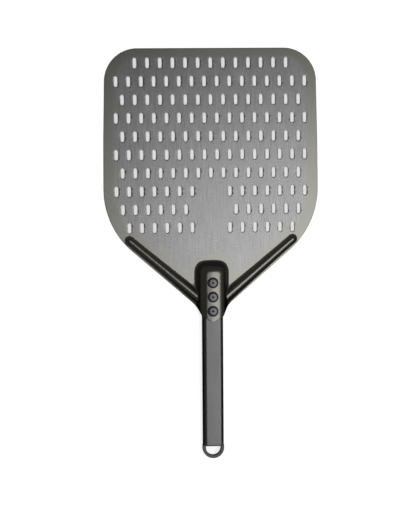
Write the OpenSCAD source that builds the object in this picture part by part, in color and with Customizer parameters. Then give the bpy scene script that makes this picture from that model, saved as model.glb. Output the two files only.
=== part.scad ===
// Perforated pizza peel, lying flat on its underside.
// X runs across the blade, +Y towards the blade's front edge, +Z up.
// The origin is under the middle of the whole length, on the surface that the peel lies on.

/* [Overall] */
// Length from the front edge to the end of the hanging loop
total_len = 586; // [560:1:620]
// Thickness of the pressed sheet
sheet_t = 1.5; // [1.2:0.1:1.8]

/* [Blade outline] */
// Width between the side lines at the front edge
front_w = 301; // [296:0.5:305]
// Width between the side lines where they bend
belly_w = 306.5; // [304:0.5:308]
// Distance from the front edge to that bend
belly_d = 130; // [120:1:150]
// Width between the side lines where they meet the diagonals
shoulder_w = 308; // [304:0.5:312]
// Distance from the front edge to where the side lines meet the diagonals
shoulder_d = 253; // [246:1:258]
// Radius of the two front corners
corner_r = 47; // [40:1:56]
// Radius of the two shoulders
shoulder_r = 118; // [100:1:130]

/* [Slots] */
// Sideways distance between neighbouring slots in a row
slot_pitch = 18; // [17.5:0.1:18.5]
// Distance between rows
row_pitch = 26; // [25.5:0.1:26.5]
// Width of one slot
slot_w = 5.4; // [4.5:0.1:6.5]
// Length of one slot, end to end
slot_l = 14.9; // [14:0.1:17]
// Distance from the front edge to the first row
row1_d = 21; // [19:0.5:23]

/* [Handle] */
// Width of the tube
tube_w = 30; // [28:0.5:32]
// Height of the tube
tube_h = 15; // [14:0.5:16]
// Outside radius of the tube's corners
tube_r = 6; // [5:0.5:7]
// Wall of the tube
tube_wall = 1.5; // [1.2:0.1:2]
// Outside radius of the hanging loop
loop_r = 15.4; // [15.1:0.1:17]
// Radius of the opening in the hanging loop
eye_r = 10.8; // [10:0.1:11.5]

/* [Rivets] */
// Distance between neighbouring rivets
rivet_pitch = 20.3; // [18:0.1:21]
// Radius of the rivet's shank
shank_r = 2.4; // [2:0.1:2.5]
// Radius of the rivet's flange
flange_r = 7.9; // [6.9:0.1:8.5]

/* [Hidden] */
$fn = 48;

front_y = total_len / 2;
fit_gap = 0.05;              // clearance between parts that are pushed together
over = 1;                    // how far a cutting tool runs past what it cuts

// Outline corners on the +X side, from the front edge to the tip: [x, distance from front edge, radius]
belly_r = 1500;
neck = [23, 366.5, 40];
throat = [15.4, 381.5, 1.5];
tip = [0, 392.7, 5];

// Slots in each row from the front: [half pitches from the middle to the innermost, and to the outermost]
ROWS = [[0, 12], [1, 15], [0, 14], [1, 15], [0, 14], [1, 15], [0, 14], [3, 15], [4, 14], [3, 13]];

// Saddle over the tube
saddle_front_d = 301.5;      // where the pressing starts to rise
saddle_front_w = 48;         // width of its foot at the front
saddle_wide_d = 335;
saddle_wide_w = 55;          // widest part of its foot
skirt_d = 361.5;             // from here the skirt leaves the table and climbs the tube
skirt_w = 53;                // width of the foot there
throat_w = 34;               // and at the throat
foot_wall = 0.6;             // how much wider the saddle's foot is than its hollow
channel_d = 320.5;           // from here back the hollow fits the tube
skirt_top = 10.5;            // height of the skirt's edge at the throat
crown_d = 319.5;             // centre of the rounding at the crown's front
crown_x = tube_w / 2 - tube_r;
crown_z = tube_h - tube_r;

// Stiffening ribs: [x, distance from front edge, radius of the foot, height above the sheet]
rib_outer = [114.6, 274.5, 6.9, 4];
rib_inner = [25.5, 350.5, 9.5, 7];

// Tube and cap
tube_front_d = 323;
tube_end_d = 566.6;
cap_flange = 1.6;            // thickness of the cap's flange behind the tube
loop_d = total_len - loop_r; // centre of the loop and of its opening
loop_low = 2.5;              // the loop is a band between these heights
loop_high = 12.5;
cap_inset = 0.4;             // the flange is this much smaller than the tube's section
plug_len = 24;               // length of the cap inside the tube
plug_floor = 2;              // the cap's plug is hollow up to here
plug_wall = 1.7;
front_plug_len = 8;
front_plate_t = 1;           // plate that covers the tube's front end
front_plate_inset = 0.5;

// Rivets
rivet_d = 333.3;             // first rivet
head_h = 2.1;
face_r = 4.4;                // flat middle of the rivet's head
rim_h = 0.7;                 // the head slopes from its flat middle to a thin flat rim
rim_w = 0.6;
bore_r = 1.45;               // hole that the mandrel leaves
bulb_r = 3.7;                // blind side after setting
bulb_h = 4;
bulb_edge = 0.4;             // chamfer where the bulb meets the tube's wall
break_h = 1.4;               // depth of the mandrel's broken end under the head's face
mandrel_side = 1;            // straight part of the mandrel's head
mandrel_head_h = 2.2;
mandrel_end_r = 1.4;

function at(d) = front_y - d;
function unit(v) = v / norm(v);

// Points of an arc of radius r that rounds corner b between a and c, a step every 3 degrees.
function fillet(a, b, c, r) =
    let (ua = unit(a - b), uc = unit(c - b), half = acos(ua * uc) / 2)
    let (centre = b + unit(ua + uc) * r / sin(half), from = b + ua * r / tan(half) - centre)
    let (to = b + uc * r / tan(half) - centre, turn = 180 - 2 * half)
    let (way = sign(from.x * to.y - from.y * to.x), steps = max(2, ceil(turn / 3)))
    [for (i = [0:steps]) let (s = way * turn * i / steps)
        centre + [from.x * cos(s) - from.y * sin(s), from.x * sin(s) + from.y * cos(s)]];

// Closed outline from corners [x, y, r], each rounded with its own radius.
function rounded(corners) =
    let (n = len(corners), p = [for (c = corners) [c.x, c.y]])
    [for (i = [0:n - 1]) each corners[i][2] > 0
        ? fillet(p[(i + n - 1) % n], p[i], p[(i + 1) % n], corners[i][2])
        : [p[i]]];

// Mirrors a list of [x, distance, radius] corners to the -X side and puts them in the row frame.
function both_sides(side) = concat(
    [for (c = side) [c.x, at(c.y), c[2]]],
    [for (i = [len(side) - 1:-1:0]) if (side[i].x > 0) [-side[i].x, at(side[i].y), side[i][2]]]);

module outline() {
    polygon(rounded(both_sides([
        [front_w / 2, 0, corner_r],
        [belly_w / 2, belly_d, belly_r],
        [shoulder_w / 2, shoulder_d, shoulder_r],
        neck, throat, tip,
    ])));
}

module slot() {
    straight = slot_l - slot_w;
    square([slot_w, straight], center = true);
    for (end = [-1, 1])
        translate([0, end * straight / 2]) circle(d = slot_w);
}

module slots() {
    for (row = [0:len(ROWS) - 1], half = [ROWS[row][0]:2:ROWS[row][1]], side = half == 0 ? [1] : [-1, 1])
        translate([side * half * slot_pitch / 2, at(row1_d + row * row_pitch)]) slot();
}

// Foot of the saddle, grown outwards by grow.
module saddle_foot(grow) {
    polygon(rounded(both_sides([
        [saddle_front_w / 2 + grow, saddle_front_d - grow, 9],
        [saddle_wide_w / 2 + grow, saddle_wide_d, 30],
        [skirt_w / 2 + grow, skirt_d, 20],
        [throat_w / 2 + grow, throat.y + 2 * over, 0],
        [throat_w / 2 + grow, tip.y + over, 0],
    ])));
}

// Saddle as one closed form: its outside with r = tube_r + sheet_t, its hollow with r = tube_r.
module saddle(r, foot_low, foot_high, grow) {
    hull() {
        translate([0, 0, foot_low]) linear_extrude(foot_high - foot_low) saddle_foot(grow);
        for (side = [-1, 1]) {
            translate([side * crown_x, at(crown_d), crown_z]) sphere(r, $fn = 32);
            translate([side * crown_x, at(tip.y + over), crown_z])
                rotate([-90, 0, 0]) cylinder(r = r, h = over, $fn = 32);
        }
    }
}

// Sphere whose cap above the sheet has the foot radius and height of one rib end, less wall.
module rib_end(e, wall) {
    cap_r = (e[2] ^ 2 + e[3] ^ 2) / (2 * e[3]);
    translate([e.x, at(e.y), sheet_t + e[3] - cap_r]) sphere(cap_r - wall, $fn = 32);
}

module rib(wall) {
    hull() {
        rib_end(rib_outer, wall);
        rib_end(rib_inner, wall);
    }
}

module ribs(wall) {
    rib(wall);
    mirror([1, 0, 0]) rib(wall);
}

// Section of the tube in X and Z, shrunk by inset.
module tube_section(inset) {
    for (side = [-1, 1], z = [tube_r, tube_h - tube_r])
        translate([side * crown_x, z]) circle(tube_r - inset);
    translate([-crown_x, inset]) square([2 * crown_x, tube_h - 2 * inset]);
    translate([inset - tube_w / 2, tube_r]) square([tube_w - 2 * inset, tube_h - 2 * tube_r]);
}

// Solid of the tube's section between two distances from the front edge.
module tube_run(from_d, to_d, inset) {
    translate([0, at(from_d), 0]) rotate([90, 0, 0])
        linear_extrude(to_d - from_d) tube_section(inset);
}

module rivet_holes(low, high) {
    for (i = [0:2])
        translate([0, at(rivet_d + i * rivet_pitch), low]) cylinder(r = shank_r + fit_gap, h = high - low);
}

// Cuts the skirt away below a line that climbs from the table to skirt_top at the throat.
module skirt_trim() {
    translate([-shoulder_w / 2, 0, 0]) rotate([90, 0, 90]) linear_extrude(shoulder_w)
        polygon([[at(skirt_d), 0], [at(skirt_d), -over], [at(tip.y + over), -over],
                 [at(tip.y + over), skirt_top], [at(throat.y), skirt_top]]);
}

module blade() {
    color([0.45, 0.45, 0.44]) difference() {
        intersection() {
            union() {
                translate([-shoulder_w / 2, at(skirt_d), 0]) cube([shoulder_w, skirt_d, sheet_t]);
                saddle(tube_r + sheet_t, 0, sheet_t, 0);
                ribs(0);
            }
            linear_extrude(tube_h + sheet_t) outline();
        }
        saddle(tube_r, -over, 0, -foot_wall);
        ribs(sheet_t);
        tube_run(channel_d, tip.y + over, -fit_gap);
        skirt_trim();
        translate([0, 0, -over]) linear_extrude(sheet_t + 2 * over) slots();
        rivet_holes(crown_z, tube_h + 2 * sheet_t);
    }
}

module handle_tube() {
    color([0.30, 0.30, 0.31]) difference() {
        tube_run(tube_front_d, tube_end_d, 0);
        tube_run(tube_front_d - over, tube_end_d + over, tube_wall);
        rivet_holes(crown_z, tube_h + over);
    }
}

module tube_front_plug() {
    color([0.08, 0.08, 0.08]) {
        tube_run(tube_front_d - front_plate_t, tube_front_d, front_plate_inset);
        difference() {
            tube_run(tube_front_d, tube_front_d + front_plug_len, tube_wall + fit_gap);
            tube_run(tube_front_d + front_plate_t, tube_front_d + front_plug_len + over,
                tube_wall + plug_wall);
        }
    }
}

// Plan of the loop: half round behind the tube's end, with a D-shaped eye behind the flange.
module loop_plan() {
    difference() {
        union() {
            intersection() {
                translate([0, at(loop_d)]) circle(loop_r, $fn = 96);
                translate([-loop_r, at(total_len)]) square([2 * loop_r, loop_r]);
            }
            translate([-loop_r, at(loop_d)]) square([2 * loop_r, loop_d - tube_end_d]);
        }
        intersection() {
            translate([0, at(loop_d)]) circle(eye_r, $fn = 96);
            translate([-loop_r, at(total_len)]) square([2 * loop_r, total_len - tube_end_d - cap_flange]);
        }
    }
}

module hang_cap() {
    color([0.12, 0.12, 0.12]) {
        translate([0, 0, loop_low]) linear_extrude(loop_high - loop_low) loop_plan();
        tube_run(tube_end_d, tube_end_d + cap_flange, cap_inset);
        difference() {
            tube_run(tube_end_d - plug_len, tube_end_d, tube_wall + fit_gap);
            tube_run(tube_end_d - plug_len - over, tube_end_d - plug_floor, tube_wall + plug_wall);
        }
    }
}

// The set rivet's body, turned: its head, its shank through the two walls and the bulb on the blind side.
module rivet_body(i) {
    seat = tube_h + sheet_t;
    blind = tube_h - tube_wall;
    color([0.38, 0.38, 0.39])
        translate([0, at(rivet_d + i * rivet_pitch), 0]) rotate_extrude()
            polygon([
                [bore_r, seat + head_h], [face_r, seat + head_h],
                [flange_r - rim_w, seat + rim_h], [flange_r, seat + rim_h], [flange_r, seat],
                [shank_r, seat], [shank_r, blind], [bulb_r, blind - bulb_edge],
                [bulb_r, blind - bulb_h / 2], [shank_r, blind - bulb_h], [bore_r, blind - bulb_h],
            ]);
}

// Broken mandrel: the stem in the body's bore and the head that swells its blind end.
module rivet_mandrel(i) {
    broken = tube_h + sheet_t + head_h - break_h;
    foot = tube_h - tube_wall - bulb_h;
    color([0.20, 0.20, 0.21])
        translate([0, at(rivet_d + i * rivet_pitch), 0]) rotate_extrude()
            polygon([
                [0, broken], [bore_r - fit_gap, broken], [bore_r - fit_gap, foot], [shank_r, foot],
                [shank_r, foot - mandrel_side], [mandrel_end_r, foot - mandrel_head_h],
                [0, foot - mandrel_head_h],
            ]);
}

blade();
handle_tube();
tube_front_plug();
hang_cap();
rivet_body(0);  // rivet_body_front
rivet_body(1);  // rivet_body_middle
rivet_body(2);  // rivet_body_rear
rivet_mandrel(0);  // rivet_mandrel_front
rivet_mandrel(1);  // rivet_mandrel_middle
rivet_mandrel(2);  // rivet_mandrel_rear
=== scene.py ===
import bmesh
import bpy
import numpy as np
from mathutils import Matrix, Vector
from mathutils.geometry import delaunay_2d_cdt


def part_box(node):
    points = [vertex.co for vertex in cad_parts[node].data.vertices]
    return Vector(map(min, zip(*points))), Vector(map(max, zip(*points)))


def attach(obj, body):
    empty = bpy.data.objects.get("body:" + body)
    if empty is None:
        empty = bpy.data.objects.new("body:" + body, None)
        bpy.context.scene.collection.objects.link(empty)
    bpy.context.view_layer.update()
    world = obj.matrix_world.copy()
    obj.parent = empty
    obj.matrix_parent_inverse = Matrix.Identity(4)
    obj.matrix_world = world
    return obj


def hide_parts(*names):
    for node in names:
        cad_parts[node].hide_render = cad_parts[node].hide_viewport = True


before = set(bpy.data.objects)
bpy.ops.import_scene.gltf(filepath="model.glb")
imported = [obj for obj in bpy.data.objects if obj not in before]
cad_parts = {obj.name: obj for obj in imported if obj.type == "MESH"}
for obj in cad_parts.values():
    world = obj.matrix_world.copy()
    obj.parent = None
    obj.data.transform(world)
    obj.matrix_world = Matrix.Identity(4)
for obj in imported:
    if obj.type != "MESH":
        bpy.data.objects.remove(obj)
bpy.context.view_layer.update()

MM = 0.001

# ---------------------------------------------------------------------------------------------
# Blade
# One sheet of 1.5 mm aluminium, blanked with its slots and then pressed, so that two ribs and the
# saddle over the handle rise from it. Hard-anodised grey, with its loading face brushed lengthwise.

blade_low, blade_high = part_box("blade")
tube_low, tube_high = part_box("handle_tube")

SHEET = blade_high.z - tube_high.z      # the saddle lies on the tube, so only its sheet stands above it
front_y = blade_high.y
tip_y = blade_low.y
tube_half = tube_high.x

front_half = 150.5 * MM                 # half width between the side lines at the front edge
belly_half = 153.25 * MM                # where they bend a little
belly_y = front_y - 130 * MM
shoulder_half = 154 * MM                # and where they meet the diagonals
shoulder_y = front_y - 253 * MM
neck_half = 23 * MM                     # where the diagonals meet the lines down to the tube
neck_y = front_y - 366.5 * MM
throat_half = tube_half + 0.4 * MM      # where those lines reach the tube's sides
throat_y = front_y - 381.5 * MM
tip_short = 1.1 * MM                    # the tongue's sides meet this far short of its full length
corner_r, belly_r, shoulder_r, neck_r, throat_r, tip_r = (r * MM for r in (47, 1500, 118, 40, 1.5, 5))

slot_pitch = 18 * MM
row_pitch = 26 * MM
first_row_y = front_y - 21 * MM
slot_half_w = 2.7 * MM
slot_half_l = 7.45 * MM
# Each row's innermost and outermost slot, in half pitches from the middle
SLOT_ROWS = ((0, 12), (1, 15), (0, 14), (1, 15), (0, 14), (1, 15), (0, 14), (3, 15), (4, 14), (3, 13))

saddle_rise = tube_high.z               # height of the saddle's top over the flat sheet's
crown_half = 7.2 * MM                   # flat top of the saddle
crown_r = 14.45 * MM                    # radius of the bend beside it
crown_droop = 0.65 * MM                 # its arch: how much lower its sides lie than its middle
crown_arch = 8 * MM                     # and how far out most of that is reached
crown_round = 4 * MM                    # radius of its front corners
crown_y = front_y - 319.6 * MM          # front end of the flat top
crown_corner = 2.9                      # power that rounds its corners: 2 is a circle, more is squarer
saddle_slope = np.tan(np.radians(65))
rib_outer = np.array([117 * MM, front_y - 273 * MM])
rib_inner = np.array([17.5 * MM, front_y - 357.2 * MM])
rib_start, rib_rise, rib_swell = 3.7 * MM, 0.2 * MM, 2.6 * MM   # height outside, and its even and late rise
rib_r, rib_r_more = 4.9 * MM, 2.3 * MM  # radius of the rib's back outside, and its growth to the saddle
rib_slope = np.tan(np.radians(60))
foot_blend = 4.5 * MM                   # how softly a slope runs out into the flat sheet
join_blend = 2.5 * MM                   # and how softly a rib runs into the saddle
join_foot = 4 * MM                      # height below which that is softer, towards their feet
join_gain, join_limit = 1.6, 2.5        # how much softer over each such height, and over how many at most
form_reach = 3 * MM                     # the fine net of points goes this much further down the slopes
roll_w, roll_h = 1.1 * MM, 0.27 * MM    # shallow dip that the punch leaves round each slot
trim_w, trim_h = 0.7 * MM, 0.3 * MM     # and the trimming die along the outline
outline_step = 1.1 * MM                 # distance between points on the outline beside the forms
flat_step, form_step = 4.5 * MM, 0.95 * MM      # in the coarse net and in the fine one
coarse_meet_y = shoulder_y - 20 * MM    # two coarse nets meet here
form_top_y = front_y - 255 * MM         # and the fine one goes no further up than this
outline_clear, slot_clear = 1.1 * MM, 1.9 * MM  # how far the nets stay from the outline and the slots
trim_parts = (0.2, 0.55, 1)             # rings of points inside the outline, in parts of the trimmed width
roll_parts = (0, 0.12, 0.35, 0.65, 1)   # and round a slot, in parts of the dip's width


def corner_arc(before, corner, after, radius, step):
    """Points of the arc that touches both lines through a corner: the arc's centre lies on the bisector,
    and the radius to the first touching point is turned about it, a step at a time, to the second."""
    to_before = (before - corner) / np.linalg.norm(before - corner)
    to_after = (after - corner) / np.linalg.norm(after - corner)
    half = np.arccos(to_before @ to_after) / 2
    bisector = (to_before + to_after) / np.linalg.norm(to_before + to_after)
    centre = corner + bisector * radius / np.sin(half)
    start = corner + to_before * radius / np.tan(half) - centre
    way = np.sign(to_after[0] * to_before[1] - to_after[1] * to_before[0])
    turn = way * np.linspace(0, np.pi - 2 * half, 2 + int((np.pi - 2 * half) * radius / step))
    return centre + np.stack((start[0] * np.cos(turn) - start[1] * np.sin(turn),
                              start[0] * np.sin(turn) + start[1] * np.cos(turn)), 1)


def closed_outline(corners, radii, step):
    """Closed outline of straight lines and arcs: each corner of the polygon becomes its arc, and the lines
    between the arcs are divided evenly, a step or less apart."""
    corners = np.asarray(corners, float)
    arcs = [corner_arc(corners[i - 1], corners[i], corners[(i + 1) % len(corners)], radii[i], step)
            for i in range(len(corners))]
    pieces = []
    for arc, following in zip(arcs, arcs[1:] + arcs[:1]):
        gap = following[0] - arc[-1]
        count = max(1, int(np.linalg.norm(gap) / step))
        pieces += [arc, arc[-1] + gap * np.arange(1, count)[:, None] / count]
    return np.concatenate(pieces)


def outline_distance(x, y, ring):
    """Distance to a closed ring, positive inside: the least distance to any of its sides, and a point is
    inside where a line from it along +X crosses the sides an odd number of times."""
    ax, ay = ring.T
    bx, by = np.roll(ring, -1, axis=0).T
    dx, dy = bx - ax, by - ay
    x, y = x[:, None], y[:, None]
    along = np.clip(((x - ax) * dx + (y - ay) * dy) / (dx * dx + dy * dy), 0, 1)
    nearest = np.sqrt((x - ax - along * dx) ** 2 + (y - ay - along * dy) ** 2).min(1)
    level = np.where(dy == 0, 1, dy)
    crossed = ((ay > y) != (by > y)) & (x < ax + (y - ay) / level * dx)
    return np.where(crossed.sum(1) % 2 == 1, nearest, -nearest)


def slot_distance(x, y):
    """Distance to the nearest slot's edge, negative inside it: a slot is every point within its half width
    of a short line along Y."""
    beside = x[:, None] - slot_x
    beyond = np.maximum(np.abs(y[:, None] - slot_y) - (slot_half_l - slot_half_w), 0)
    return np.sqrt(beside ** 2 + beyond ** 2).min(1) - slot_half_w


def soft_max(a, b, width):
    """The larger of a and b, with a parabola across where they differ by less than the width."""
    return np.maximum(a, b) + np.maximum(width - np.abs(a - b), 0) ** 2 / (4 * width)


def shoulder_fall(distance, radius, slope):
    """How far a pressed form has fallen at a distance from its crest: an arc of the crest's radius, and
    from where the arc has reached the slope, a straight line."""
    leave = radius * slope / np.sqrt(1 + slope ** 2)
    arc = radius - np.sqrt(radius ** 2 - np.clip(distance, 0, leave) ** 2)
    return arc + np.maximum(distance - leave, 0) * slope


def from_crown(x, y):
    """Distance outwards from the saddle's flat crown, with rounded corners at its front."""
    beside = np.maximum(np.abs(x) - crown_half + crown_round, 0)
    before = np.maximum(y - crown_y + crown_round, 0)
    outwards = (beside ** crown_corner + before ** crown_corner) ** (1 / crown_corner)
    return np.maximum(outwards - crown_round, 0)


def from_ridge(x, y):
    """Distance from the nearer rib's ridge line, and how far along it, 0 outside to 1 at the saddle."""
    x = np.abs(x)
    ridge = rib_inner - rib_outer
    along = np.clip(((x - rib_outer[0]) * ridge[0] + (y - rib_outer[1]) * ridge[1]) / (ridge @ ridge), 0, 1)
    return np.hypot(x - rib_outer[0] - along * ridge[0], y - rib_outer[1] - along * ridge[1]), along


def forms_height(x, y):
    """Height of the pressed forms, negative outside them: the saddle falls away from its slightly arched
    crown, each rib from a ridge line whose height grows towards the saddle, and the larger counts."""
    saddle = saddle_rise - shoulder_fall(from_crown(x, y), crown_r, saddle_slope)
    saddle -= crown_droop * (1 - np.exp(-(x / crown_arch) ** 2))
    beside_ridge, along = from_ridge(x, y)
    rib = rib_start + rib_rise * along + rib_swell * along ** 2
    rib -= shoulder_fall(beside_ridge, rib_r + rib_r_more * along, rib_slope)
    softer = np.clip(1 - np.maximum(saddle, rib) / join_foot, 0, join_limit)
    return soft_max(saddle, rib, join_blend * (1 + join_gain * softer))


def pressed_height(x, y):
    """Height that the press gives the sheet: the forms, run out softly into the flat sheet."""
    return soft_max(forms_height(x, y), 0, foot_blend)


def edge_dip(distance, width, depth):
    """Drop of a worked edge: a parabola, the full depth at the edge and none a width inside it."""
    return depth * (1 - np.clip(distance / width, 0, 1)) ** 2


def loading_height(x, y):
    """Height of the loading face over the table: the sheet and its pressed forms, less the worked edges."""
    edges = edge_dip(slot_distance(x, y), roll_w, roll_h)
    edges += edge_dip(outline_distance(x, y, blade_ring), trim_w, trim_h)
    return SHEET + pressed_height(x, y) - edges


def face_normals(height, x, y):
    """Upward unit normals of the surface z = height(x, y), from its slopes along X and Y, which are the
    differences of the height over a small step to either side."""
    step = 0.02 * MM
    slope_x = (height(x + step, y) - height(x - step, y)) / (2 * step)
    slope_y = (height(x, y + step) - height(x, y - step)) / (2 * step)
    normals = np.stack((-slope_x, -slope_y, np.ones_like(x)), 1)
    return normals / np.linalg.norm(normals, axis=1)[:, None]


half_corners = ((front_half, front_y), (belly_half, belly_y), (shoulder_half, shoulder_y),
                (neck_half, neck_y), (throat_half, throat_y))
half_radii = (corner_r, belly_r, shoulder_r, neck_r, throat_r)
blade_corners = half_corners + ((0, tip_y + tip_short),)
blade_corners += tuple((-x, y) for x, y in reversed(half_corners))
blade_radii = half_radii + (tip_r,) + half_radii[::-1]
blade_ring = closed_outline(blade_corners, blade_radii, outline_step)
every_other = np.arange(len(blade_ring)) % 2 == 0
blade_ring = blade_ring[every_other | (blade_ring[:, 1] < shoulder_y)]

slot_x, slot_y = np.array([(side * half * slot_pitch / 2, first_row_y - row * row_pitch)
                           for row, (inner, outer) in enumerate(SLOT_ROWS)
                           for half in range(inner, outer + 1, 2)
                           for side in ((1,) if half == 0 else (1, -1))]).T


def slot_ring(grow):
    """One slot's closed outline, grown by a distance: a circle whose upper and lower halves are drawn apart,
    with one more point in the middle of each straight side."""
    turn = np.radians(np.arange(0, 360, 15))
    circle = np.stack((np.cos(turn), np.sin(turn)), 1) * (slot_half_w + grow)
    half = np.where(abs(circle[:, 1]) > 1e-9, np.sign(circle[:, 1]), 0)
    apart = half * (slot_half_l - slot_half_w)
    return circle + np.stack((np.zeros_like(apart), apart), 1)


def ring_edges(first, count):
    """Index pairs that join a run of points into one closed ring."""
    index = np.arange(count)
    return np.stack((first + index, first + (index + 1) % count), 1)


def grid_points(x_low, x_high, y_low, y_high, step):
    """Points of a grid whose rows lie 0.87 of a step apart, with every second row moved on by half a step,
    so that three neighbours form a nearly even triangle."""
    x, y = np.meshgrid(np.arange(x_low, x_high, step), np.arange(y_low, y_high, step * 0.87))
    x[1::2] += step / 2
    return np.stack((x.ravel(), y.ravel()), 1)


def blade_plan():
    """Plan of the blade as triangles: a Delaunay net over the outline, the slots' rims, a coarse grid where
    the sheet is flat and a fine one where it is pressed. Triangles in a slot or outside are left out."""
    ring_count = len(blade_ring)
    sides = np.roll(blade_ring, -1, axis=0) - np.roll(blade_ring, 1, axis=0)
    inward = np.stack((sides[:, 1], -sides[:, 0]), 1) / np.linalg.norm(sides, axis=1)[:, None]
    points, edges = [blade_ring], [ring_edges(0, ring_count)]
    points += [blade_ring + inward * trim_w * part for part in trim_parts]
    start = 4 * ring_count
    for grow in roll_parts:
        rim = slot_ring(grow * roll_w)
        for x, y in zip(slot_x, slot_y):
            if grow == 0:
                edges.append(ring_edges(start, len(rim)))
            points.append(rim + (x, y))
            start += len(rim)
    flat = np.concatenate((grid_points(-shoulder_half, shoulder_half, coarse_meet_y, front_y, flat_step),
                           grid_points(-shoulder_half, shoulder_half, tip_y, coarse_meet_y, flat_step)))
    flat = flat[forms_height(*flat.T) < -foot_blend - form_reach]
    formed = grid_points(-shoulder_half, shoulder_half, tip_y, form_top_y, form_step)
    formed = formed[forms_height(*formed.T) > -foot_blend - form_reach]
    inner = np.concatenate((flat, formed))
    keep = outline_distance(*inner.T, blade_ring) > outline_clear
    keep &= slot_distance(*inner.T) > slot_clear
    points.append(inner[keep])
    net = delaunay_2d_cdt(np.concatenate(points).tolist(), np.concatenate(edges).tolist(), [], 0, 1e-9)
    places = np.array(net[0])
    triangles = np.array(net[2])
    middle = places[triangles].mean(1)
    kept = (outline_distance(*middle.T, blade_ring) > 0) & (slot_distance(*middle.T) > -0.01 * MM)
    return places, triangles[kept]


def sheet_mesh(name, places, triangles):
    """Closed sheet over a plan: the loading face, the underside a sheet's thickness behind it along the
    pressed form's normals, and a wall round every edge of the plan that only one triangle has."""
    x, y = places.T
    top = np.stack((x, y, loading_height(x, y)), 1)
    top_normals = face_normals(loading_height, x, y)
    under_normals = -face_normals(pressed_height, x, y)
    under = np.stack((x, y, SHEET + pressed_height(x, y)), 1) + under_normals * SHEET
    count = len(places)
    sides = np.concatenate((triangles[:, (0, 1)], triangles[:, (1, 2)], triangles[:, (2, 0)]))
    key = np.sort(sides, axis=1) @ (count, 1)
    _, first, times = np.unique(key, return_index=True, return_counts=True)
    a, b = sides[first[times == 1]].T
    walls = np.stack((a, a + count, b + count, b), 1)
    outward = np.stack((y[b] - y[a], x[a] - x[b]), 1)
    summed = np.zeros((count, 3))
    np.add.at(summed[:, :2], a, outward)
    np.add.at(summed[:, :2], b, outward)
    wall_normals = summed / np.maximum(np.linalg.norm(summed, axis=1), 1e-12)[:, None]
    mesh = bpy.data.meshes.new(name)
    mesh.from_pydata(np.concatenate((top, under)).tolist(), [],
                     triangles.tolist() + (triangles[:, ::-1] + count).tolist() + walls.tolist())
    corners = np.concatenate((top_normals[triangles.ravel()], under_normals[triangles[:, ::-1].ravel()],
                              wall_normals[walls.ravel() % count]))
    mesh.shade_smooth()
    mesh.normals_split_custom_set(corners.tolist())
    return mesh


def new_piece(mesh, material, slot_name, *replaced):
    """Puts a mesh in the scene as one piece of the object, in place of its CAD nodes."""
    piece = bpy.data.objects.new(mesh.name, mesh)
    bpy.context.scene.collection.objects.link(piece)
    mesh.materials.append(material)
    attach(piece, "root")
    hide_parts(*replaced)


class Shade:
    """One socket of a material's node tree, so that shader maths is written as it reads: each operator adds
    a Math node, and node() adds any other."""

    def __init__(self, tree, socket=None):
        self.tree = tree
        self.socket = socket

    def node(self, kind, settings=None, inputs=None, out=0):
        """Adds a node: its settings first, then the value or link of each input, by name or number."""
        made = self.tree.nodes.new(kind)
        for name, value in (settings or {}).items():
            setattr(made, name, value)
        for name, value in (inputs or {}).items():
            if isinstance(value, Shade):
                self.tree.links.new(value.socket, made.inputs[name])
            else:
                made.inputs[name].default_value = value
        return Shade(self.tree, made.outputs[out]) if len(made.outputs) else None

    def maths(self, operation, *values):
        return self.node("ShaderNodeMath", {"operation": operation}, dict(enumerate(values)))

    def __add__(self, other):
        return self.maths("ADD", self, other)

    def __radd__(self, other):
        return self.maths("ADD", other, self)

    def __sub__(self, other):
        return self.maths("SUBTRACT", self, other)

    def __rsub__(self, other):
        return self.maths("SUBTRACT", other, self)

    def __mul__(self, other):
        return self.maths("MULTIPLY", self, other)

    def __rmul__(self, other):
        return self.maths("MULTIPLY", other, self)

    def ramp(self, low, high):
        """0 below low, 1 above high and a smooth step between them."""
        return self.node("ShaderNodeMapRange", {"interpolation_type": "SMOOTHSTEP"},
                         {"Value": self, "From Min": low, "From Max": high})

    def place(self, scale):
        """Object coordinates, stretched by a scale along each axis."""
        spot = self.node("ShaderNodeTexCoord", out="Object")
        return self.node("ShaderNodeVectorMath", {"operation": "MULTIPLY"}, {0: spot, 1: scale})

    def noise(self, scale, detail=2.0, roughness=0.5):
        """Noise from about 0 to 1, with cells of 1 / scale metres along each axis."""
        return self.node("ShaderNodeTexNoise", {"noise_dimensions": "3D"},
                         {"Vector": self.place(scale), "Scale": 1.0, "Detail": detail,
                          "Roughness": roughness})

    def blend(self, share, first, second):
        """Mixes two colours by a share."""
        return self.node("ShaderNodeMix", {"data_type": "RGBA"}, {0: share, 6: first, 7: second}, out=2)

    def bump(self, height, distance, strength):
        """Normal of a surface that rises by a distance where a height goes from 0 to 1."""
        return self.node("ShaderNodeBump", None,
                         {"Height": height, "Distance": distance, "Strength": strength}, out="Normal")


def new_material(name):
    """An empty material, and a Shade to build it with."""
    material = bpy.data.materials.new(name)
    material.use_nodes = True
    material.node_tree.nodes.clear()
    return material, Shade(material.node_tree)


def give_surface(shade, inputs):
    """Ends a material's tree with one Principled BSDF."""
    surface = shade.node("ShaderNodeBsdfPrincipled", None, inputs)
    shade.node("ShaderNodeOutputMaterial", None, {"Surface": surface})


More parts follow.
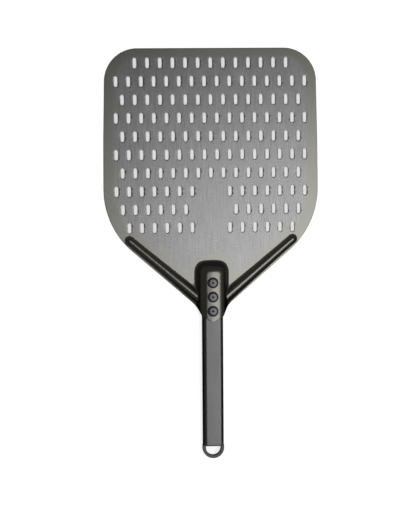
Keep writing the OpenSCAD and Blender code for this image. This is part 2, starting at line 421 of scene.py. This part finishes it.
def brushed_sheet():
    """Anodised sheet: grey with lengthwise brush lines inside the brushed field, plain and a little warmer
    outside it, and darker high on the pressed forms."""
    material, shade = new_material("brushed anodised sheet")
    brushed = shade.node("ShaderNodeAttribute", {"attribute_name": "brushed_mm"}, out="Fac").ramp(-3.5, 3.5)
    in_mm = shade.place((1000, 1000, 1000))
    height_mm = shade.node("ShaderNodeSeparateXYZ", None, {0: in_mm}, out="Z")
    # 0 to 1 as the height over the table goes from 2.5 to 5 mm: there the sheet is darker and smoother
    high_on_forms = height_mm.ramp(2.5, 5)
    scratches = shade.noise((1300, 650, 1300), 3.0, 0.6)
    lines = shade.noise((700, 30, 700), 2.0)
    clouds = shade.noise((35, 35, 35), 2.0)
    brushing = (0.70 * scratches + 0.22 * lines + 0.08 * clouds).ramp(0.36, 0.64)
    field = shade.blend(brushing, (0.215, 0.215, 0.215, 1), (0.53, 0.53, 0.53, 1))
    plain = shade.blend(clouds, (0.330, 0.327, 0.294, 1), (0.350, 0.347, 0.316, 1))
    plain = shade.blend(high_on_forms, plain, (0.225, 0.220, 0.198, 1))
    give_surface(shade, {
        "Base Color": shade.blend(brushed, plain, field),
        "Metallic": 1.0,
        "Roughness": 0.35 + 0.02 * brushed - 0.05 * high_on_forms + (brushing - 0.5) * 0.10 * brushed,
        "Normal": shade.bump(scratches * brushed, 0.02 * MM, 0.35),
    })
    return material


places, triangles = blade_plan()
blade_mesh = sheet_mesh("pressed_blade", places, triangles)
plan_x, plan_y = places.T
edge_gap = outline_distance(plan_x, plan_y, blade_ring)

# How far each point lies inside the brushed field. The brush stays off a margin, which grows a little
# over some way from the front edge, and off the forms, towards which it fades more gently.
margin_front, margin_more, margin_run = 11 * MM, 4 * MM, 60 * MM
crown_gap, ridge_gap, form_fade = 24 * MM, 17 * MM, 0.45
underside_mm = -20.0                    # well outside the field, because the underside isn't brushed
margin = margin_front + margin_more * np.clip((front_y - plan_y) / margin_run, 0, 1)
form_gap = np.minimum(from_crown(plan_x, plan_y) - crown_gap, from_ridge(plan_x, plan_y)[0] - ridge_gap)
brushed_mm = np.minimum(edge_gap - margin, form_gap * form_fade) / MM
brushed_mm = np.concatenate((brushed_mm, np.full(len(places), underside_mm)))
blade_mesh.attributes.new("brushed_mm", "FLOAT", "POINT").data.foreach_set("value", brushed_mm)
new_piece(blade_mesh, brushed_sheet(), "blade_aluminium", "blade")

# ---------------------------------------------------------------------------------------------
# Handle tube
# Extruded flat-oval aluminium tube, cut to length, its ends deburred, then matt anodised dark grey.
# It is pushed under the saddle, flush with the blade's underside.

TUBE_R = 6 * MM                         # outside radius of the tube's corners
TUBE_WALL = 1.5 * MM
DEBURR = 0.3 * MM
tube_mid_z = (tube_low.z + tube_high.z) / 2


def oval_section(inset):
    """The tube's section in X and Z, shrunk by an inset: four corner arcs with their centres fixed and their
    radius less the inset, and two more points in each wide side to keep it flat."""
    turn = np.radians(np.linspace(0, 90, 10))
    quarter = np.stack((np.cos(turn), np.sin(turn)), 1) * (TUBE_R - inset)
    centre = np.array((tube_half - TUBE_R, tube_mid_z - TUBE_R))
    keep = np.array((centre[0] - 0.4 * MM, centre[1] + TUBE_R - inset))
    upper = np.concatenate((centre + quarter, [keep], [keep * (-1, 1)], (quarter[::-1] + centre) * (-1, 1)))
    return np.concatenate((upper, upper[::-1] * (1, -1))) + (0, tube_mid_z)


def section_along(stations):
    """Grid of points: for each station (place along Y, inset), the oval section at that place."""
    rings = [oval_section(inset) for _, inset in stations]
    return np.stack([np.insert(ring, 1, place, axis=1) for ring, (place, _) in zip(rings, stations)])


def grid_faces(rows, columns, start, loop):
    """Faces of a grid whose columns close into a ring. Its rows close too where loop is true, and otherwise
    the first and the last ring are each closed with one face."""
    index = start + np.arange(rows * columns).reshape(rows, columns)
    below = np.roll(index, -1, axis=0) if loop else index[1:]
    above = index if loop else index[:-1]
    quads = np.stack((above, np.roll(above, -1, 1), np.roll(below, -1, 1), below), 2).reshape(-1, 4).tolist()
    return quads if loop else quads + [index[0, ::-1].tolist(), index[-1].tolist()]


def grids_mesh(name, *grids):
    """One mesh of several closed surfaces, each a grid of points and whether its rows close into a loop,
    with smooth shading that breaks at sharp edges and faces that point outwards."""
    points, faces, start = [], [], 0
    for grid, loop in grids:
        rows, columns, _ = grid.shape
        faces += grid_faces(rows, columns, start, loop)
        points.append(grid.reshape(-1, 3))
        start += rows * columns
    mesh = bpy.data.meshes.new(name)
    mesh.from_pydata(np.concatenate(points).tolist(), [], faces)
    shape = bmesh.new()
    shape.from_mesh(mesh)
    bmesh.ops.recalc_face_normals(shape, faces=shape.faces)
    shape.to_mesh(mesh)
    shape.free()
    mesh.shade_smooth()
    mesh.set_sharp_from_angle(angle=np.radians(32))
    return mesh


def matt_anodised():
    """Anodised tube: even dark grey with a very fine blasted grain."""
    material, shade = new_material("matt anodised tube")
    grain = shade.noise((1400, 900, 1400), 3.0, 0.6)
    cloud = shade.noise((60, 12, 60), 2.0)
    give_surface(shade, {
        "Base Color": shade.blend((grain + cloud - 0.5).ramp(0.2, 0.8), (0.16, 0.156, 0.16, 1),
                                  (0.19, 0.186, 0.19, 1)),
        "Metallic": 1.0,
        "Roughness": 0.38 + 0.10 * (grain - 0.5),
        "Normal": shade.bump(grain, 0.02 * MM, 0.3),
    })
    return material


def outside_and_back(front, rear, outer, inner):
    """Stations of a tube's whole skin: along the outside at one inset, over the deburred rear end, back
    along the inside at the other inset, and over the deburred front end."""
    run = [front - DEBURR, front - 2 * DEBURR, *np.linspace(front - 2 * MM, rear + 2 * MM, 24),
           rear + 2 * DEBURR, rear + DEBURR]
    outside = [(front, outer + DEBURR), (front - DEBURR * 0.3, outer + DEBURR * 0.3)]
    outside += [(place, outer) for place in run]
    outside += [(rear + DEBURR * 0.3, outer + DEBURR * 0.3), (rear, outer + DEBURR)]
    inside = [(rear, inner - DEBURR), (rear + DEBURR, inner)]
    inside += [(front - DEBURR, inner), (front, inner - DEBURR)]
    return outside + inside


tube_skin = section_along(outside_and_back(tube_high.y, tube_low.y, 0, TUBE_WALL))
new_piece(grids_mesh("anodised_tube", (tube_skin, True)), matt_anodised(), "tube_anodised", "handle_tube")

# ---------------------------------------------------------------------------------------------
# Front plug
# Moulded plastic plug pressed into the tube's front end under the saddle, so that no flour gets in:
# a thin plate over the tube's end and a skirt inside it.

PLUG_WALL = 1.5 * MM
PLUG_IN = TUBE_WALL + 0.05 * MM         # inset of a plug's skin, which just clears the tube's inside
PLATE_IN = 0.5 * MM                     # inset of the plate over the tube's end
plug_low, plug_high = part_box("tube_front_plug")


def moulded_plastic():
    """Satin black-grey plastic with the fine spark-eroded grain of its mould."""
    material, shade = new_material("moulded plastic")
    grain = shade.noise((1100, 1100, 1100), 3.0, 0.6)
    give_surface(shade, {
        "Base Color": shade.blend(grain, (0.075, 0.075, 0.074, 1), (0.105, 0.105, 0.102, 1)),
        "Roughness": 0.42 + 0.15 * (grain - 0.5),
        "Normal": shade.bump(grain, 0.04 * MM, 0.3),
    })
    return material


plastic = moulded_plastic()
plug_stations = [(plug_high.y, PLATE_IN + DEBURR), (plug_high.y - DEBURR, PLATE_IN),
                 (tube_high.y, PLATE_IN), (tube_high.y, PLUG_IN), (plug_low.y + DEBURR, PLUG_IN),
                 (plug_low.y, TUBE_WALL + DEBURR), (plug_low.y, TUBE_WALL + PLUG_WALL),
                 (tube_high.y - 1 * MM, TUBE_WALL + PLUG_WALL)]
new_piece(grids_mesh("front_plug", (section_along(plug_stations), False)), plastic, "black_plastic",
          "tube_front_plug")

# ---------------------------------------------------------------------------------------------
# Rivets
# Three large-flange blind rivets, set from above through the saddle and the tube's upper wall. The
# steel mandrel has swollen the blind end and broken off inside, which leaves a pit in each head. The
# mandrel's nearly black colour is painted shade that makes the pit darker.

BORE_R = 1.45 * MM
SHANK_R = 2.4 * MM
BULB_R = 3.7 * MM
FACE_R = 5.2 * MM                       # flat middle of the head
RIM_H = 0.7 * MM                        # from which it slopes to a thin rim
RIM_W = 0.5 * MM
BULB_H = 4 * MM


def turned(profile, centre_y, steps=64):
    """Surface of revolution about an upright axis: the profile of (radius, height) is turned round it."""
    turn = np.linspace(0, 2 * np.pi, steps, endpoint=False)
    radius, height = np.asarray(profile).T
    return np.stack((radius[:, None] * np.cos(turn), centre_y + radius[:, None] * np.sin(turn),
                     np.repeat(height[:, None], steps, 1)), 2)


def rivet_metal():
    """Anodised rivet: dark bluish grey with a fine grain."""
    material, shade = new_material("anodised rivet")
    grain = shade.noise((1200, 1200, 1200), 2.0)
    give_surface(shade, {
        "Base Color": shade.blend(grain, (0.125, 0.13, 0.137, 1), (0.155, 0.16, 0.168, 1)),
        "Metallic": 1.0,
        "Roughness": 0.36 + 0.12 * (grain - 0.5),
        "Normal": shade.bump(grain, 0.02 * MM, 0.3),
    })
    return material


def mandrel_steel():
    """Broken steel: rough, and nearly black, which is painted shade that darkens the pit it sits in."""
    material, shade = new_material("broken mandrel steel")
    grain = shade.noise((2500, 2500, 2500), 3.0)
    give_surface(shade, {
        "Base Color": shade.blend(grain, (0.012, 0.012, 0.012, 1), (0.03, 0.03, 0.03, 1)),
        "Metallic": 1.0,
        "Roughness": 0.6,
        "Normal": shade.bump(grain, 0.1 * MM, 0.5),
    })
    return material


head_metal, pit_shade_steel = rivet_metal(), mandrel_steel()
rivet_low, rivet_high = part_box("rivet_body_front")
rear_low, rear_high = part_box("rivet_body_rear")
seat = blade_high.z
head_top = rivet_high.z
blind_face = tube_high.z - TUBE_WALL
flange_r = (rivet_high.x - rivet_low.x) / 2
body_profile = [(BORE_R, head_top - 0.1 * MM), (BORE_R + 0.1 * MM, head_top),
                (BORE_R + 0.5 * MM, head_top), (FACE_R - 0.15 * MM, head_top),
                (FACE_R + 0.15 * MM, head_top - 0.06 * MM),
                (flange_r - RIM_W - 0.15 * MM, seat + RIM_H + 0.06 * MM),
                (flange_r - RIM_W + 0.1 * MM, seat + RIM_H), (flange_r - 0.2 * MM, seat + RIM_H - 0.02 * MM),
                (flange_r - 0.05 * MM, seat + RIM_H - 0.1 * MM), (flange_r, seat + RIM_H - 0.2 * MM),
                (flange_r, seat + 0.05 * MM), (flange_r - 0.05 * MM, seat),
                (SHANK_R, seat), (SHANK_R, blind_face),
                (BULB_R - 0.4 * MM, blind_face), (BULB_R, blind_face - 0.5 * MM),
                (BULB_R, blind_face - BULB_H / 2), (SHANK_R, blind_face - BULB_H),
                (BORE_R, blind_face - BULB_H)]
pit = seat + 0.1 * MM
foot = blind_face - BULB_H
mandrel_profile = [(0.3 * MM, pit + 0.15 * MM), (0.8 * MM, pit + 0.1 * MM), (BORE_R - 0.06 * MM, pit),
                   (BORE_R - 0.06 * MM, foot), (SHANK_R, foot), (SHANK_R, foot - 1 * MM),
                   (SHANK_R * 0.6, foot - 2 * MM), (0.3 * MM, foot - 2.2 * MM)]
for place in ("front", "middle", "rear"):
    body_low, body_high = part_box(f"rivet_body_{place}")
    centre_y = (body_low.y + body_high.y) / 2
    new_piece(grids_mesh(f"rivet_{place}", (turned(body_profile, centre_y), True)), head_metal,
              "rivet_aluminium", f"rivet_body_{place}")
    new_piece(grids_mesh(f"mandrel_{place}", (turned(mandrel_profile, centre_y, 32), False)), pit_shade_steel,
              "mandrel_steel", f"rivet_mandrel_{place}")

# ---------------------------------------------------------------------------------------------
# Hanging cap
# One plastic moulding: a hollow plug held by friction in the tube's free end, a flange that covers
# the tube's cut edge, and a half-ring to hang the peel by.

loop_low, loop_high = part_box("hang_cap")
BAND_LOW, BAND_HIGH = 2.5 * MM, 12.5 * MM
BAND_W = 4.6 * MM
BAND_ROUND = 1.3 * MM
FLANGE = 1.6 * MM
FLANGE_IN = 0.4 * MM                    # the flange is this much smaller than the tube
CAP_PLUG_WALL = 1.7 * MM
loop_r = loop_high.x
loop_y = loop_low.y + loop_r


def band_along(stations):
    """Grid of points along the loop, whose section is a rounded rectangle: each station gives the direction
    from the loop's middle out through the section, and the middle's place along Y."""
    inner = loop_r - BAND_W
    corners = ((loop_r, BAND_HIGH), (inner, BAND_HIGH), (inner, BAND_LOW), (loop_r, BAND_LOW))
    across, height = closed_outline(corners, [BAND_ROUND] * 4, 0.4 * MM).T
    return np.array([np.stack((across * np.cos(angle), place + across * np.sin(angle), height), 1)
                     for angle, place in stations])


band_stations = [(0, tube_low.y)] + [(-angle, loop_y) for angle in np.linspace(0, np.pi, 61)]
band_stations += [(-np.pi, tube_low.y)]
plug_end = loop_high.y
flange_y = tube_low.y - FLANGE
cap_stations = [(flange_y, FLANGE_IN + DEBURR), (flange_y + DEBURR * 0.3, FLANGE_IN + DEBURR * 0.3),
                (flange_y + DEBURR, FLANGE_IN), (tube_low.y, FLANGE_IN), (tube_low.y, PLUG_IN),
                (plug_end - DEBURR, PLUG_IN), (plug_end, TUBE_WALL + DEBURR),
                (plug_end, TUBE_WALL + CAP_PLUG_WALL), (tube_low.y + 2 * MM, TUBE_WALL + CAP_PLUG_WALL)]
new_piece(grids_mesh("hanging_cap", (section_along(cap_stations), False),
                     (band_along(band_stations), False)),
          plastic, "black_plastic", "hang_cap")

# ---------------------------------------------------------------------------------------------
# Floor, light and camera
# A pale floor in a white tent with one softbox overhead, right of the middle and towards the handle.
# The metal reflects a dark room instead of the tent, and the camera looks almost straight down.

STUDIO_R = 8.0                          # radius of the tent


def staged(name, mesh, white, glow):
    """Puts a piece of the studio in the scene: matt, with a glow of its own, left out of the metal's
    reflections and casting no shadow."""
    material, shade = new_material(name)
    give_surface(shade, {"Base Color": (white, white, white, 1), "Roughness": 0.9,
                         "Emission Color": (1, 1, 1, 1), "Emission Strength": glow})
    mesh.materials.append(material)
    thing = bpy.data.objects.new(name, mesh)
    thing.visible_glossy = False
    thing.visible_shadow = False
    bpy.context.scene.collection.objects.link(thing)


floor_mesh = bpy.data.meshes.new("floor")
floor_corners = [(x * STUDIO_R, y * STUDIO_R, -0.1 * MM) for x, y in ((-1, -1), (1, -1), (1, 1), (-1, 1))]
floor_mesh.from_pydata(floor_corners, [], [(0, 1, 2, 3)])
staged("floor", floor_mesh, 0.7, 0.68)

# A greyer sheet of paper, hidden under the flat part of the blade but for its slots: painted shade of the
# blade on the floor seen through them
shadow_sheet_mesh = bpy.data.meshes.new("shadow_sheet")
shadow_sheet_size = 0.96                        # its size in parts of the blade's
shadow_sheet_end_y = shoulder_y - 20 * MM       # it is cut off here, before the raised forms
shadow_sheet_z = -0.05 * MM
shadow_sheet = np.insert((blade_ring - (0, shoulder_y)) * shadow_sheet_size + (0, shoulder_y), 2, shadow_sheet_z, axis=1)
shadow_sheet = shadow_sheet[shadow_sheet[:, 1] > shadow_sheet_end_y]
shadow_sheet_mesh.from_pydata(shadow_sheet[::-1].tolist(), [], [tuple(range(len(shadow_sheet)))])
staged("shadow_sheet", shadow_sheet_mesh, 0.8, 0.27)

# The tent: half a sphere from just under the floor, with a small opening at the top
tent_turn, tent_rise = np.meshgrid(np.linspace(0, 2 * np.pi, 48, endpoint=False),
                                   np.radians(np.arange(-2, 90, 4)))
tent = np.stack((np.cos(tent_turn) * np.cos(tent_rise), np.sin(tent_turn) * np.cos(tent_rise),
                 np.sin(tent_rise)), 2) * STUDIO_R
tent_mesh = bpy.data.meshes.new("tent")
tent_mesh.from_pydata(tent.reshape(-1, 3).tolist(), [], grid_faces(*tent.shape[:2], 0, False)[:-2])
staged("tent", tent_mesh, 0.0, 0.45)

softbox = bpy.data.lights.new("softbox", "AREA")
softbox.shape = "RECTANGLE"
softbox.size, softbox.size_y = 0.8, 0.8
softbox.energy = 4.05
lamp = bpy.data.objects.new("softbox", softbox)
lamp.location = (0.39, -0.25, 1.2)
lamp.visible_camera = False
bpy.context.scene.collection.objects.link(lamp)

world = bpy.data.worlds.new("dark room")
world.use_nodes = True
world.node_tree.nodes.clear()
room = Shade(world.node_tree)
way = room.node("ShaderNodeTexCoord", out="Generated")
rise = room.node("ShaderNodeSeparateXYZ", None, {0: way}, out="Z")
overhead = rise.ramp(0.55, 1.0)
walls = rise.ramp(-0.05, 0.25) - rise.ramp(0.75, 0.95)
brightness = 0.002 + 0.02 * overhead + 0.085 * walls
glow = room.node("ShaderNodeBackground", None, {"Color": (1, 1, 1, 1), "Strength": brightness})
room.node("ShaderNodeOutputWorld", None, {"Surface": glow})
bpy.context.scene.world = world

camera = bpy.data.cameras.new("camera")
camera.lens = 157.3
camera.sensor_width = 36
eye = bpy.data.objects.new("camera", camera)
right = Vector((0.9937, -0.0065, 0.1120)).normalized()
ahead = Vector((0.1113, -0.0731, -0.9911)).normalized()
up = right.cross(ahead).normalized()
right = ahead.cross(up)
facing = Matrix((right, up, -ahead)).transposed().to_4x4()
eye.matrix_world = Matrix.Translation((-0.363, 0.232, 3.137)) @ facing
bpy.context.scene.collection.objects.link(eye)
bpy.context.scene.camera = eye
bpy.context.scene.view_settings.view_transform = "Standard"
